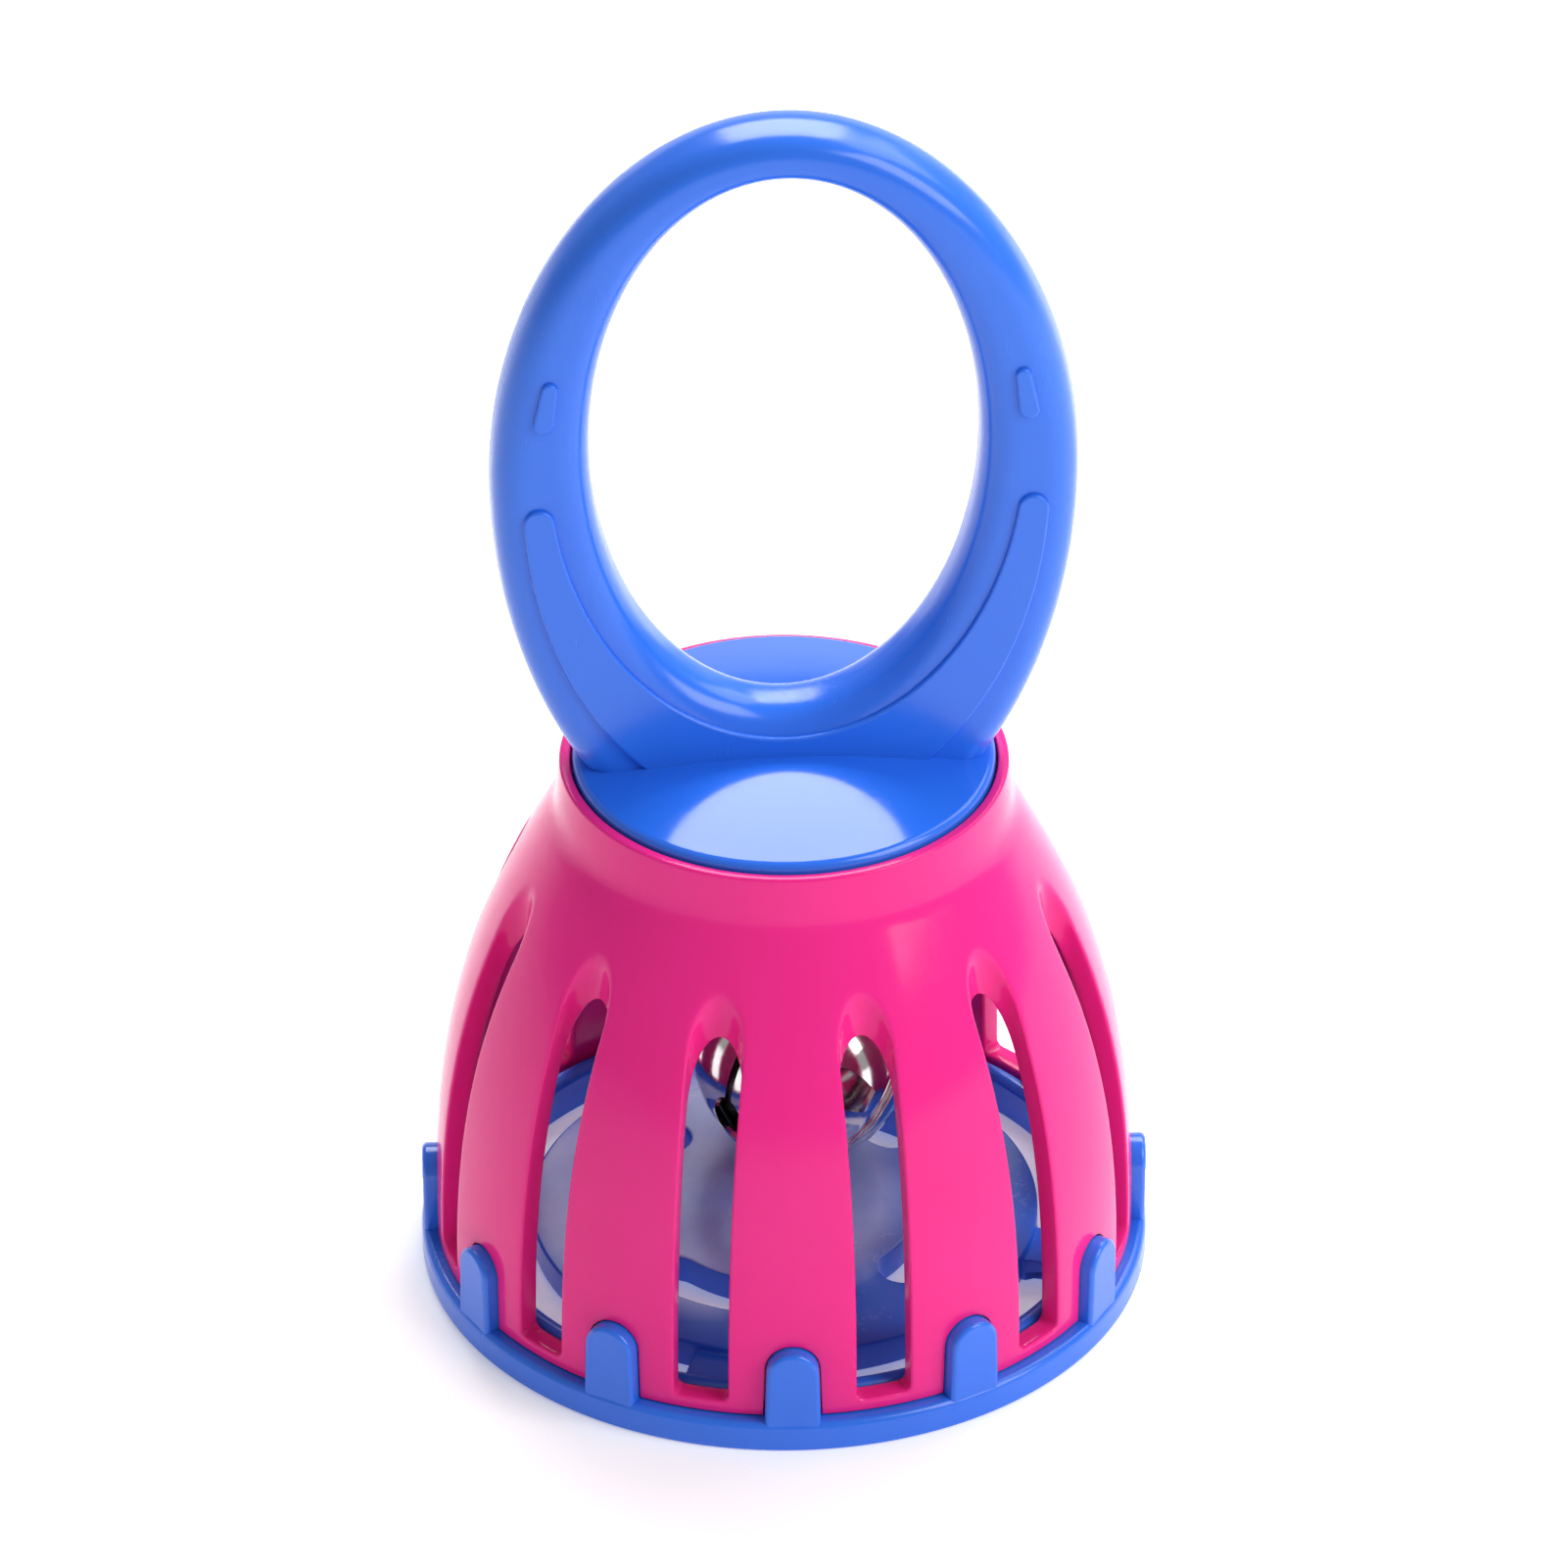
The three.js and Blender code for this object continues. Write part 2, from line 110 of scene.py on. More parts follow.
class RattleBaseSizes(bpy.types.PropertyGroup):
    """Sizes of the clipped-on base"""

    radius: length("Radius", "Outside of the rim", high("base").x)
    rim_height: length("Rim Height", "Height of the rim under the cage", 3.5 * MM)
    rim_round: length("Rim Rounding", "Rounding of the rim's top edge", 0.9 * MM)
    rim_inner: length("Rim Inner Radius", "Inside of the rim", 33.3 * MM)
    upstand_radius: length("Upstand Radius", "Outside of the low wall that fits inside the cage", 35.4 * MM)
    upstand_top: length("Upstand Top", "Height of the low wall", 4.9 * MM)
    tab_width: length("Tab Width", "Width of the upright tabs at the top", 5.7 * MM)
    tab_foot_width: length("Tab Foot Width", "Width of the upright tabs at the rim", 6.2 * MM)
    tab_inner: length("Tab Inner Radius", "Back of the tabs", 37.5 * MM)
    tab_outer: length("Tab Outer Radius", "Face of the tabs", 39.85 * MM)
    floor_radius: length("Floor Radius", "Radius of the slotted floor disc", 28 * MM)
    floor_top: length("Floor Top", "Height of the floor disc's face", 4.5 * MM)
    floor_under: length("Floor Underside", "Height of the floor disc's underside", 1.0 * MM)
    spokes: IntProperty(name="Spokes", description="Spokes and sound slots of the floor", default=4, min=2)
    spoke_width: length("Spoke Width", "Width of a spoke", 6.4 * MM)
    sound_radius: length("Sound Slot Radius", "Radius of the arc along each sound slot", 18 * MM)
    sound_width: length("Sound Slot Width", "Width of each sound slot", 6 * MM)
    sound_reach: angle("Sound Slot Reach", "From the middle of a sound slot to its end's centre", 29)
    floor_turn: angle("Floor Turn", "Turn of the spokes and sound slots against the tabs", -15)


class RattleHandleSizes(bpy.types.PropertyGroup):
    """Sizes of the hand ring and its cap"""

    cap_radius: length("Cap Radius", "Radius of the cap in the collar", 22.75 * MM)
    cap_edge: length("Cap Edge", "Height of the cap's edge", 64.4 * MM)
    cap_round: length("Cap Rounding", "Rounding of the cap's edge", 0.9 * MM)
    cap_dome: length("Cap Dome", "How far the cap's middle stands above its edge", 2.2 * MM)
    ring_depth: length("Ring Depth", "Front to back size of the ring", 9.0 * MM)
    ring_edge: length("Ring Edge", "How far the ring's rounded edges reach into its faces", 4.4 * MM)
    ring_middle: length("Ring Middle", "Height at which the ring is widest", 99.4 * MM)
    ring_half_width: length("Ring Half Width", "Half of the ring's width", high("handle").x)
    ring_lower: length("Ring Lower Half", "Half-axis of the lower outline, cut short by the cap", 49 * MM)
    hole_middle: length("Hole Middle", "Height of the hand hole's centre", 103.8 * MM)
    hole_half_width: length("Hole Half Width", "Half of the hand hole's width", 20.5 * MM)
    hole_half_height: length("Hole Half Height", "Half of the hand hole's height", 32.3 * MM)
    relief: length("Relief", "How far the raised band and marks stand out", 0.55 * MM)
    parting: length("Parting Step", "Step at the mould's parting line", 0.12 * MM)


class RattleBellSizes(bpy.types.PropertyGroup):
    """Sizes of the jingle bell"""

    radius: length("Radius", "Radius of the bell's shells", 12 * MM)
    wall: length("Wall", "Thickness of the pressed shells", 0.6 * MM)
    seam: length("Seam", "Gap between the two shells", 0.3 * MM)
    flange: length("Rolled Seam", "How far the rolled seam stands out", 0.35 * MM)
    slot_width: length("Slot Width", "Width of the sound slots", 0.9 * MM)
    slot_hole: length("Slot Hole", "Radius of the round ends of the sound slots", 2.2 * MM)
    slot_reach: angle("Slot Reach", "From the bell's pole to a slot's end", 56)
    loop_radius: length("Loop Radius", "Radius of the wire loop's middle line", 2.2 * MM)
    wire: length("Wire", "Radius of the loop's wire", 0.6 * MM)
    pellet_radius: length("Pellet Radius", "Radius of the loose ball", 2.75 * MM)


class RattleColours(bpy.types.PropertyGroup):
    """Colours of the finishes and of the painted reflection on the floor disc, as sRGB hex values"""

    blue: colour("Blue", "Moulded plastic of the base and hand ring", "2C71E6")
    blue_deep: colour("Deep Blue", "The same plastic where it is slightly denser", "2769DF")
    pink: colour("Pink", "Moulded plastic of the cage", "EE2A8C")
    pink_deep: colour("Deep Pink", "The same plastic where it is slightly denser", "E62683")
    chrome: colour("Chrome", "Chrome plate of the bell", "DEDADB")
    steel: colour("Steel", "Plain steel of the pellet", "A9A9AD")
    # painted reflection: the pale colour painted on the floor disc, standing in for the bright background
    # reflected in it and the light coming in through the slots
    painted_reflection: colour("Painted_reflection", "Dust on the floor disc inside the base", "B4CCFF")
    floor: colour("Floor", "Backlit white studio floor", "FAF9F9")


# ---------------------------------------------------------------- modelling helpers


def clear_selection():
    if bpy.context.object and bpy.context.object.mode != "OBJECT":
        bpy.ops.object.mode_set(mode="OBJECT")
    bpy.ops.object.select_all(action="DESELECT")


def pick(obj):
    clear_selection()
    obj.select_set(True)
    bpy.context.view_layer.objects.active = obj


def named(name):
    """The active object, with this name on it and on its mesh."""
    obj = bpy.context.object
    obj.name = obj.data.name = name
    return obj


def path(name, points):
    """An open line of edges, drawn by extruding one vertex from point to point."""
    clear_selection()
    bpy.ops.mesh.primitive_plane_add(size=MM)
    obj = named(name)
    bpy.ops.object.mode_set(mode="EDIT")
    bpy.ops.mesh.merge(type="CENTER")
    bpy.ops.transform.translate(value=points[0])
    for start, end in zip(points, points[1:]):
        step = Vector(end) - Vector(start)
        bpy.ops.mesh.extrude_region_move(TRANSFORM_OT_translate={"value": step})
    return obj


def merged(obj, gap=SEAM_GAP):
    """Welds the points of a mesh that lie within a gap and turns its faces outwards."""
    pick(obj)
    bpy.ops.object.mode_set(mode="EDIT")
    bpy.ops.mesh.select_all(action="SELECT")
    bpy.ops.mesh.remove_doubles(threshold=gap)
    bpy.ops.mesh.normals_make_consistent(inside=False)
    bpy.ops.object.mode_set(mode="OBJECT")
    return obj


def turned(name, profile, steps):
    """A profile of (radius, height) points, spun once round the Z axis."""
    obj = path(name, [(r, 0, z) for r, z in profile])
    bpy.ops.mesh.select_all(action="SELECT")
    bpy.ops.mesh.spin(steps=steps, angle=TAU, center=(0, 0, 0), axis=(0, 0, 1))
    return merged(obj)


def slab(name, outline, bottom, thickness):
    """A flat outline of (x, y) points, filled and raised to a thickness."""
    obj = path(name, [(x, y, bottom) for x, y in outline])
    bpy.ops.mesh.select_all(action="SELECT")
    bpy.ops.mesh.edge_face_add()
    bpy.ops.mesh.extrude_region_move(TRANSFORM_OT_translate={"value": (0, 0, thickness)})
    return merged(obj)


def together(*objects):
    """Joins separate objects into the first one."""
    clear_selection()
    for obj in objects:
        obj.select_set(True)
    bpy.context.view_layer.objects.active = objects[0]
    bpy.ops.object.join()
    return bpy.context.object


def copied_round(obj, count):
    """Copies a mesh at even steps round the Z axis, within the same object."""
    pick(obj)
    bpy.ops.object.mode_set(mode="EDIT")
    bpy.ops.mesh.select_all(action="SELECT")
    bpy.ops.mesh.spin(
        steps=count - 1, dupli=True, angle=TAU * (count - 1) / count, center=(0, 0, 0), axis=(0, 0, 1)
    )
    bpy.ops.object.mode_set(mode="OBJECT")
    return obj


def combined(obj, tool, operation):
    """Joins, cuts or intersects two solids and removes the second one."""
    pick(obj)
    boolean = obj.modifiers.new(operation.title(), "BOOLEAN")
    boolean.operation = operation
    boolean.solver = "EXACT"
    boolean.object = tool
    bpy.ops.object.modifier_apply(modifier=boolean.name)
    bpy.data.objects.remove(tool)
    return obj


def bevelled(obj, width, segments=3, limit=40):
    """Rounds the edges that are sharper than a limit in degrees."""
    pick(obj)
    bevel = obj.modifiers.new("Rounded edges", "BEVEL")
    bevel.width = width
    bevel.segments = segments
    bevel.limit_method = "ANGLE"
    bevel.angle_limit = math.radians(limit)
    bpy.ops.object.modifier_apply(modifier=bevel.name)
    return obj


def placed(obj, matrix):
    """Moves a mesh within its object, which stays at the origin."""
    obj.data.transform(matrix)
    obj.data.update()
    return obj


def finished(obj, node, body, material, smooth=32):
    """Shades a piece, gives it its finish and lets it stand for its CAD node."""
    pick(obj)
    bpy.ops.object.shade_smooth_by_angle(angle=math.radians(smooth))
    flat = obj.modifiers.new("Flat faces shade flat", "WEIGHTED_NORMAL")
    flat.keep_sharp = True
    bpy.ops.object.modifier_apply(modifier=flat.name)
    obj.data.materials.clear()
    obj.data.materials.append(material)
    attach(obj, body)
    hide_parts(node)


def arc(centre, radius, start, end, steps):
    """Points of a circle's arc, with angles in degrees."""
    points = []
    for i in range(steps + 1):
        a = math.radians(start + (end - start) * i / steps)
        points.append((centre[0] + radius * math.cos(a), centre[1] + radius * math.sin(a)))
    return points


def mix(a, b, share):
    return a + (b - a) * share


# ---------------------------------------------------------------- materials


def linear(hex_colour):
    """An sRGB hex colour as a linear RGBA value."""
    channels = [int(hex_colour[i : i + 2], 16) / 255 for i in (0, 2, 4)]
    rgb = [c / 12.92 if c <= 0.04045 else ((c + 0.055) / 1.055) ** 2.4 for c in channels]
    return (*rgb, 1.0)


def add_node(tree, kind, settings=None, inputs=None):
    """Adds a node, with its settings, and its inputs set to a value or linked to an output."""
    new = tree.nodes.new(kind)
    for name, value in (settings or {}).items():
        setattr(new, name, value)
    for name, value in (inputs or {}).items():
        if isinstance(value, bpy.types.NodeSocket):
            tree.links.new(value, new.inputs[name])
        else:
            new.inputs[name].default_value = value
    return new


def new_material(name):
    """A material with a node tree, and its surface shader."""
    material = bpy.data.materials.new(name)
    material.use_nodes = True
    tree = material.node_tree
    return material, tree, tree.nodes["Principled BSDF"]


def calculated(tree, operation, *values):
    """The result of a math node."""
    node = add_node(tree, "ShaderNodeMath", {"operation": operation}, dict(enumerate(values)))
    return node.outputs["Value"]


def rescaled(tree, value, start, end, result_start, result_end):
    """A value moved from one range to another and kept within it."""
    limits = {"From Min": start, "From Max": end, "To Min": result_start, "To Max": result_end}
    return add_node(tree, "ShaderNodeMapRange", None, {"Value": value, **limits}).outputs["Result"]


def noise(tree, place, scale, detail, roughness=0.5):
    """Soft noise at a place."""
    inputs = {"Vector": place, "Scale": scale, "Detail": detail, "Roughness": roughness}
    return add_node(tree, "ShaderNodeTexNoise", None, inputs).outputs["Fac"]


def mixed(tree, share, one, other):
    """Two colours mixed by a share of the second."""
    inputs = {"Factor": share, "A": one, "B": other}
    return add_node(tree, "ShaderNodeMix", {"data_type": "RGBA"}, inputs).outputs["Result"]


def bumped(tree, shader, height, strength, distance):
    """Gives a shader the bumps of a height."""
    inputs = {"Height": height, "Strength": strength, "Distance": distance}
    bump = add_node(tree, "ShaderNodeBump", None, inputs)
    tree.links.new(bump.outputs["Normal"], shader.inputs["Normal"])


# where the pale painted reflection lies on the floor disc: its middle, where it fades out, and the face it
# keeps to
PAINTED_REFLECTION_MIDDLE = (-8 * MM, 2 * MM, 0.0)
PAINTED_REFLECTION_FULL = 19 * MM
PAINTED_REFLECTION_NONE = 24 * MM
PAINTED_REFLECTION_MARGIN = 0.3 * MM
PAINTED_REFLECTION_FACE = 0.15 * MM


def with_painted_reflection(tree, place, tone, painted_reflection):
    """A painted reflection: a pale patch on the floor disc's top face round the place where the bell lies,
    and nowhere else, standing in for the bright background reflected in the glossy disc and the light that
    comes in through the slots.
    """
    size = bpy.context.scene.rattle_base
    parts = add_node(tree, "ShaderNodeSeparateXYZ", None, {"Vector": place})
    flat = add_node(tree, "ShaderNodeCombineXYZ", None, {"X": parts.outputs["X"], "Y": parts.outputs["Y"]})
    flat = flat.outputs["Vector"]
    radius = add_node(tree, "ShaderNodeVectorMath", {"operation": "LENGTH"}, {0: flat}).outputs["Value"]
    inside = calculated(tree, "LESS_THAN", radius, size.floor_radius - PAINTED_REFLECTION_MARGIN)
    top_face = calculated(tree, "COMPARE", parts.outputs["Z"], size.floor_top, PAINTED_REFLECTION_FACE)
    on_floor = calculated(tree, "MULTIPLY", inside, top_face)
    from_bell = add_node(tree, "ShaderNodeVectorMath", {"operation": "DISTANCE"}, {0: flat, 1: PAINTED_REFLECTION_MIDDLE})
    patch = rescaled(tree, from_bell.outputs["Value"], PAINTED_REFLECTION_FULL, PAINTED_REFLECTION_NONE, 1.0, 0.0)
    # the painted reflection is patchy, in soft blotches about 8 mm across
    depth = rescaled(tree, noise(tree, place, 120.0, 3.0), 0.2, 0.7, 0.6, 1.0)
    amount = calculated(tree, "MULTIPLY", calculated(tree, "MULTIPLY", on_floor, patch), depth)
    return mixed(tree, amount, tone, linear(painted_reflection))


DOME_POLISH = -0.08
DOME_MARGIN = 0.3 * MM


def polished(tree, place, dullness):
    """A lower roughness on the cap's domed face, where the mould has a mirror polish."""
    size = bpy.context.scene.rattle_handle
    height = add_node(tree, "ShaderNodeSeparateXYZ", None, {"Vector": place}).outputs["Z"]
    middle = size.cap_edge + size.cap_dome / 2
    on_dome = calculated(tree, "COMPARE", height, middle, size.cap_dome / 2 + DOME_MARGIN)
    return calculated(tree, "MULTIPLY_ADD", on_dome, DOME_POLISH, dullness)


SCUFF_DULLING = 0.1


def moulded_plastic(name, tint, tint_deep, roughness, subsurface, specular, painted_reflection=None):
    """Glossy injection-moulded polypropylene: even colour that is a touch denser in patches, a faint
    orange-peel skin, and fine handling scuffs that dull the gloss. With a painted reflection colour it is
    the plastic of the base and the handle, whose floor disc gets a pale painted reflection and whose cap is
    polished."""
    material, tree, shader = new_material(name)
    place = add_node(tree, "ShaderNodeTexCoord").outputs["Object"]
    # slow drift of the pigment, over about 15 mm
    tone = mixed(tree, noise(tree, place, 65.0, 2.0), linear(tint), linear(tint_deep))
    # hairline scuffs: long thin streaks, in a few places only, that dull the gloss a little
    turned_place = {"Vector": place, "Rotation": (0.5, 0.9, 0.4), "Scale": (1.0, 1.0, 0.06)}
    stretched = add_node(tree, "ShaderNodeMapping", None, turned_place).outputs["Vector"]
    hairs = noise(tree, stretched, 1400.0, 2.0)
    worn = calculated(tree, "MULTIPLY", hairs, noise(tree, place, 120.0, 1.0))
    dullness = rescaled(tree, worn, 0.25, 0.5, roughness, roughness + SCUFF_DULLING)
    # the base and handle get the pale painted reflection on the floor disc and the polish on the cap
    if painted_reflection:
        tone = with_painted_reflection(tree, place, tone, painted_reflection)
        dullness = polished(tree, place, dullness)
    tree.links.new(tone, shader.inputs["Base Color"])
    tree.links.new(dullness, shader.inputs["Roughness"])
    # the skin of the mould's polish: waves of about 3 mm, a few microns high
    bumped(tree, shader, noise(tree, place, 350.0, 1.0), 0.04, 0.1 * MM)
    shader.inputs["IOR"].default_value = 1.49
    shader.inputs["Specular IOR Level"].default_value = specular
    shader.inputs["Subsurface Weight"].default_value = subsurface
    shader.inputs["Subsurface Radius"].default_value = (1.0, 0.4, 0.5)
    shader.inputs["Subsurface Scale"].default_value = 1.2 * MM
    return material


def bare_metal(name, tint):
    """The start of a metal finish: its material, node tree, shader and place."""
    material, tree, shader = new_material(name)
    shader.inputs["Base Color"].default_value = linear(tint)
    shader.inputs["Metallic"].default_value = 1.0
    return material, tree, shader, add_node(tree, "ShaderNodeTexCoord").outputs["Object"]


def chrome_plate(name, tint):
    """Chrome plate on pressed steel: a mirror with a faint drawn grain and small dents."""
    material, tree, shader, place = bare_metal(name, tint)
    # grain of the drawing press, about 0.3 mm apart
    grain = noise(tree, place, 2200.0, 4.0, 0.7)
    tree.links.new(rescaled(tree, grain, 0.3, 0.8, 0.07, 0.2), shader.inputs["Roughness"])
    uneven = calculated(tree, "MULTIPLY_ADD", grain, 0.06, noise(tree, place, 260.0, 1.0))
    bumped(tree, shader, uneven, 0.35, 0.12 * MM)
    return material


def ground_steel(name, tint):
    """Plain ground steel of a loose ball: grey metal with a soft shine and tiny knocks."""
    material, tree, shader, place = bare_metal(name, tint)
    knocks = add_node(tree, "ShaderNodeTexVoronoi", None, {"Vector": place, "Scale": 1500.0})
    knocks = knocks.outputs["Distance"]
    tree.links.new(rescaled(tree, knocks, 0.0, 0.6, 0.34, 0.22), shader.inputs["Roughness"])
    bumped(tree, shader, knocks, 0.2, 0.05 * MM)
    return material


@functools.lru_cache(maxsize=None)
def finish(name):
    """The finish of a kind of piece, made once and shared."""
    tints = bpy.context.scene.rattle_colours
    if name == "blue":
        return moulded_plastic(
            "Glossy moulded polypropylene, blue",
            tints.blue,
            tints.blue_deep,
            roughness=0.2,
            subsurface=0.05,
            specular=0.5,
            # the colour of the pale painted reflection on the floor disc
            painted_reflection=tints.painted_reflection,
        )
    if name == "pink":
        return moulded_plastic(
            "Glossy moulded polypropylene, pink",
            tints.pink,
            tints.pink_deep,
            roughness=0.13,
            subsurface=0.08,
            specular=0.22,
        )
    if name == "chrome":
        return chrome_plate("Chrome plate on pressed steel", tints.chrome)
    return ground_steel("Plain ground steel", tints.steel)


# ---------------------------------------------------------------- cage

SILL_STEPS = 6
CORNER_STEPS = 4
FLANK_STEPS = 26
ARCH_STEPS = 16
EDGE_STEPS = SILL_STEPS + CORNER_STEPS + FLANK_STEPS + ARCH_STEPS
SKIN_STEPS = 9
WALL_STEPS = 4
ROUND_STEPS = 3

UPRIGHT_FOOT = 2.3 * MM
FLANK_PULL = 27 * MM
SLOT_CORNER = 0.8 * MM
# how far out from the collar and up from its foot, and the same inside the neck
COLLAR_FILLET = ((0.85 * MM, 0.95 * MM), (0.5 * MM, 2.0 * MM), (0.35 * MM, 3.2 * MM))
NECK_FILLET = ((0.0, 0.8 * MM), (0.5 * MM, 0.2 * MM))
LIP_ROUND = 0.35 * MM
BORE_ROUND = 0.2 * MM
LEDGE_ROUND = 0.1 * MM
NECK_ROUND = 0.3 * MM
TAB_CLEARANCE = 0.18 * MM


@functools.lru_cache(maxsize=None)
def dome_profile(inset):
    """Radii and heights of the dome's wall, moved inwards by an inset."""
    size = bpy.context.scene.rattle_cage
    bottom = low("cage").z
    bend = bottom + UPRIGHT_FOOT
    corners = np.array(
        [
            (size.radius, bend),
            (size.radius, bend + FLANK_PULL),
            (size.shoulder_radius, size.shoulder_height),
            (size.foot_radius, size.foot_height),
        ]
    )
    t = np.linspace(0, 1, 240)[:, None]
    curve = (
        (1 - t) ** 3 * corners[0]
        + 3 * (1 - t) ** 2 * t * corners[1]
        + 3 * (1 - t) * t**2 * corners[2]
        + t**3 * corners[3]
    )
    along = np.gradient(curve, axis=0)
    along /= np.linalg.norm(along, axis=1)[:, None]
    moved = curve - inset * np.column_stack((along[:, 1], -along[:, 0]))
    below = np.array([(size.radius - inset, bottom)])
    return np.vstack((below, moved)).T


def wall_radius(height, inset):
    radii, heights = dome_profile(inset)
    return float(np.interp(height, heights, radii))


def wall_height(radius, inset):
    radii, heights = dome_profile(inset)
    return float(np.interp(radius, radii[::-1], heights[::-1]))


def slot_edge(step, grow, inset):
    """A point of a slot's outline, as (angle, height): from the middle of the sill, up one flank and over
    to the middle of the arch. The outline is grown by one amount, on the wall's face at an inset."""
    size = bpy.context.scene.rattle_cage
    half = size.slot_width / 2 + grow
    centre = size.slot_nose + size.slot_width / 2
    sill = size.slot_sill - grow
    corner = SLOT_CORNER + grow
    arch = wall_height(math.hypot(half, centre), inset)
    if step <= SILL_STEPS:
        across, height = (half - corner) * step / SILL_STEPS, sill
    elif step <= SILL_STEPS + CORNER_STEPS:
        a = math.pi / 2 * (step - SILL_STEPS) / CORNER_STEPS
        across, height = half - corner + corner * math.sin(a), sill + corner * (1 - math.cos(a))
    elif step <= EDGE_STEPS - ARCH_STEPS:
        share = (step - SILL_STEPS - CORNER_STEPS) / FLANK_STEPS
        across, height = half, mix(sill + corner, arch, share)
    else:
        a = math.pi / 2 * (step - EDGE_STEPS + ARCH_STEPS) / ARCH_STEPS
        across, out = half * math.cos(a), centre - half * math.sin(a)
        return math.atan2(across, out), wall_height(math.hypot(across, out), inset)
    return math.asin(across / wall_radius(height, inset)), height


def field_edge(step, inset):
    """The matching point on the edge of a slot's field: along the foot, up the rib and along the top."""
    size = bpy.context.scene.rattle_cage
    half_pitch = math.pi / size.slots
    bottom = low("cage").z
    top = dome_profile(inset)[1][-1]
    foot_steps = SILL_STEPS + CORNER_STEPS
    if step <= foot_steps:
        return half_pitch * step / foot_steps, bottom
    if step <= EDGE_STEPS - ARCH_STEPS:
        return half_pitch, mix(bottom, top, (step - foot_steps) / FLANK_STEPS)
    return half_pitch * (EDGE_STEPS - step) / ARCH_STEPS, top


def on_wall(place, inset):
    """A point of the wall's face from its (angle, height)."""
    turn, height = place
    radius = wall_radius(height, inset)
    return Vector((radius * math.sin(turn), -radius * math.cos(turn), height))


def skin_point(step, share, inset, edge_round):
    """A point of the wall's face between the field's edge and the rounded slot edge."""
    outer = field_edge(step, inset)
    inner = slot_edge(step, edge_round, inset)
    return on_wall((mix(outer[0], inner[0], share), mix(outer[1], inner[1], share)), inset)


def rounded_point(step, share, face, inwards, edge_round):
    """A point of the slot's rounded edge, which turns from the wall's face into the slot's side."""
    on_face = on_wall(slot_edge(step, edge_round, face), face)
    corner = on_wall(slot_edge(step, 0, face), face)
    on_side = on_wall(slot_edge(step, 0, face + inwards), face + inwards)
    return (1 - share) ** 2 * on_face + 2 * (1 - share) * share * corner + share**2 * on_side


def cage_rows():
    """One function of the outline's step for each row of the half field, from inside to outside."""
    size = bpy.context.scene.rattle_cage
    wall, soft = size.wall, size.edge_round
    rows = []
    for i in range(SKIN_STEPS):
        rows.append(lambda step, t=i / SKIN_STEPS: skin_point(step, t, wall, soft))
    for i in range(ROUND_STEPS):
        rows.append(lambda step, t=i / ROUND_STEPS: rounded_point(step, t, wall, -soft, soft))
    for i in range(WALL_STEPS + 1):
        inset = mix(wall - soft, soft, i / WALL_STEPS)
        rows.append(lambda step, inset=inset: on_wall(slot_edge(step, 0, inset), inset))
    for i in range(1, ROUND_STEPS + 1):
        rows.append(lambda step, t=1 - i / ROUND_STEPS: rounded_point(step, t, 0, soft, soft))
    for i in range(1, SKIN_STEPS + 1):
        rows.append(lambda step, t=1 - i / SKIN_STEPS: skin_point(step, t, 0, soft))
    return rows


def make_ribs():
    """The domed wall with its slots: a grid is laid over half a slot's field, mirrored and copied round."""
    clear_selection()
    rows = cage_rows()
    bpy.ops.mesh.primitive_grid_add(x_subdivisions=EDGE_STEPS, y_subdivisions=len(rows) - 1, size=10 * MM)
    obj = named("cage_skin")
    for vertex in obj.data.vertices:
        row, step = divmod(vertex.index, EDGE_STEPS + 1)
        vertex.co = rows[row](step)
    mirror = obj.modifiers.new("Other half", "MIRROR")
    mirror.merge_threshold = SEAM_GAP
    bpy.ops.object.modifier_apply(modifier=mirror.name)
    return copied_round(obj, bpy.context.scene.rattle_cage.slots)


def make_collar():
    """The collar round the cap: from the dome's top edge over the lip, and down to the neck."""
    size = bpy.context.scene.rattle_cage
    top = high("cage").z
    outer = dome_profile(0)[:, -1]
    inner = dome_profile(size.wall)[:, -1]
    profile = [
        tuple(outer),
        *((size.collar_radius + out, size.foot_height + up) for out, up in COLLAR_FILLET),
        (size.collar_radius, top - LIP_ROUND),
        *arc((size.collar_radius - LIP_ROUND, top - LIP_ROUND), LIP_ROUND, 0, 90, 4),
        *arc((size.collar_bore + BORE_ROUND, top - BORE_ROUND), BORE_ROUND, 90, 180, 3),
        (size.collar_bore, size.neck_top + LEDGE_ROUND),
        (size.collar_bore - LEDGE_ROUND, size.neck_top),
        (size.neck_radius + NECK_ROUND, size.neck_top),
        (size.neck_radius, size.neck_top - NECK_ROUND),
        *((size.neck_radius + out, inner[1] + up) for out, up in NECK_FILLET),
        tuple(inner),
    ]
    return turned("collar", profile, 2 * size.slots * ARCH_STEPS)


def make_foot():
    """The flat ring that closes the wall's lower edge."""
    size = bpy.context.scene.rattle_cage
    bottom = low("cage").z
    profile = [(size.radius, bottom), (size.radius - size.wall, bottom)]
    return turned("cage_foot", profile, 2 * size.slots * (SILL_STEPS + CORNER_STEPS))


class RATTLE_OT_cage(bpy.types.Operator):
    """Model the slotted cage with its collar"""

    bl_idname = "rattle.cage"
    bl_label = "Cage"

    def execute(self, context):
        size = context.scene.rattle_cage
        obj = merged(together(make_ribs(), make_collar(), make_foot()))
        placed(obj, Matrix.Rotation(size.turn + math.pi / size.slots, 4, "Z"))
        combined(obj, tab_cutter(TAB_CLEARANCE), "DIFFERENCE")
        obj.name = obj.data.name = "cage_moulding"
        finished(obj, "cage", "rattle", finish("pink"))
        return {"FINISHED"}


# ---------------------------------------------------------------- base

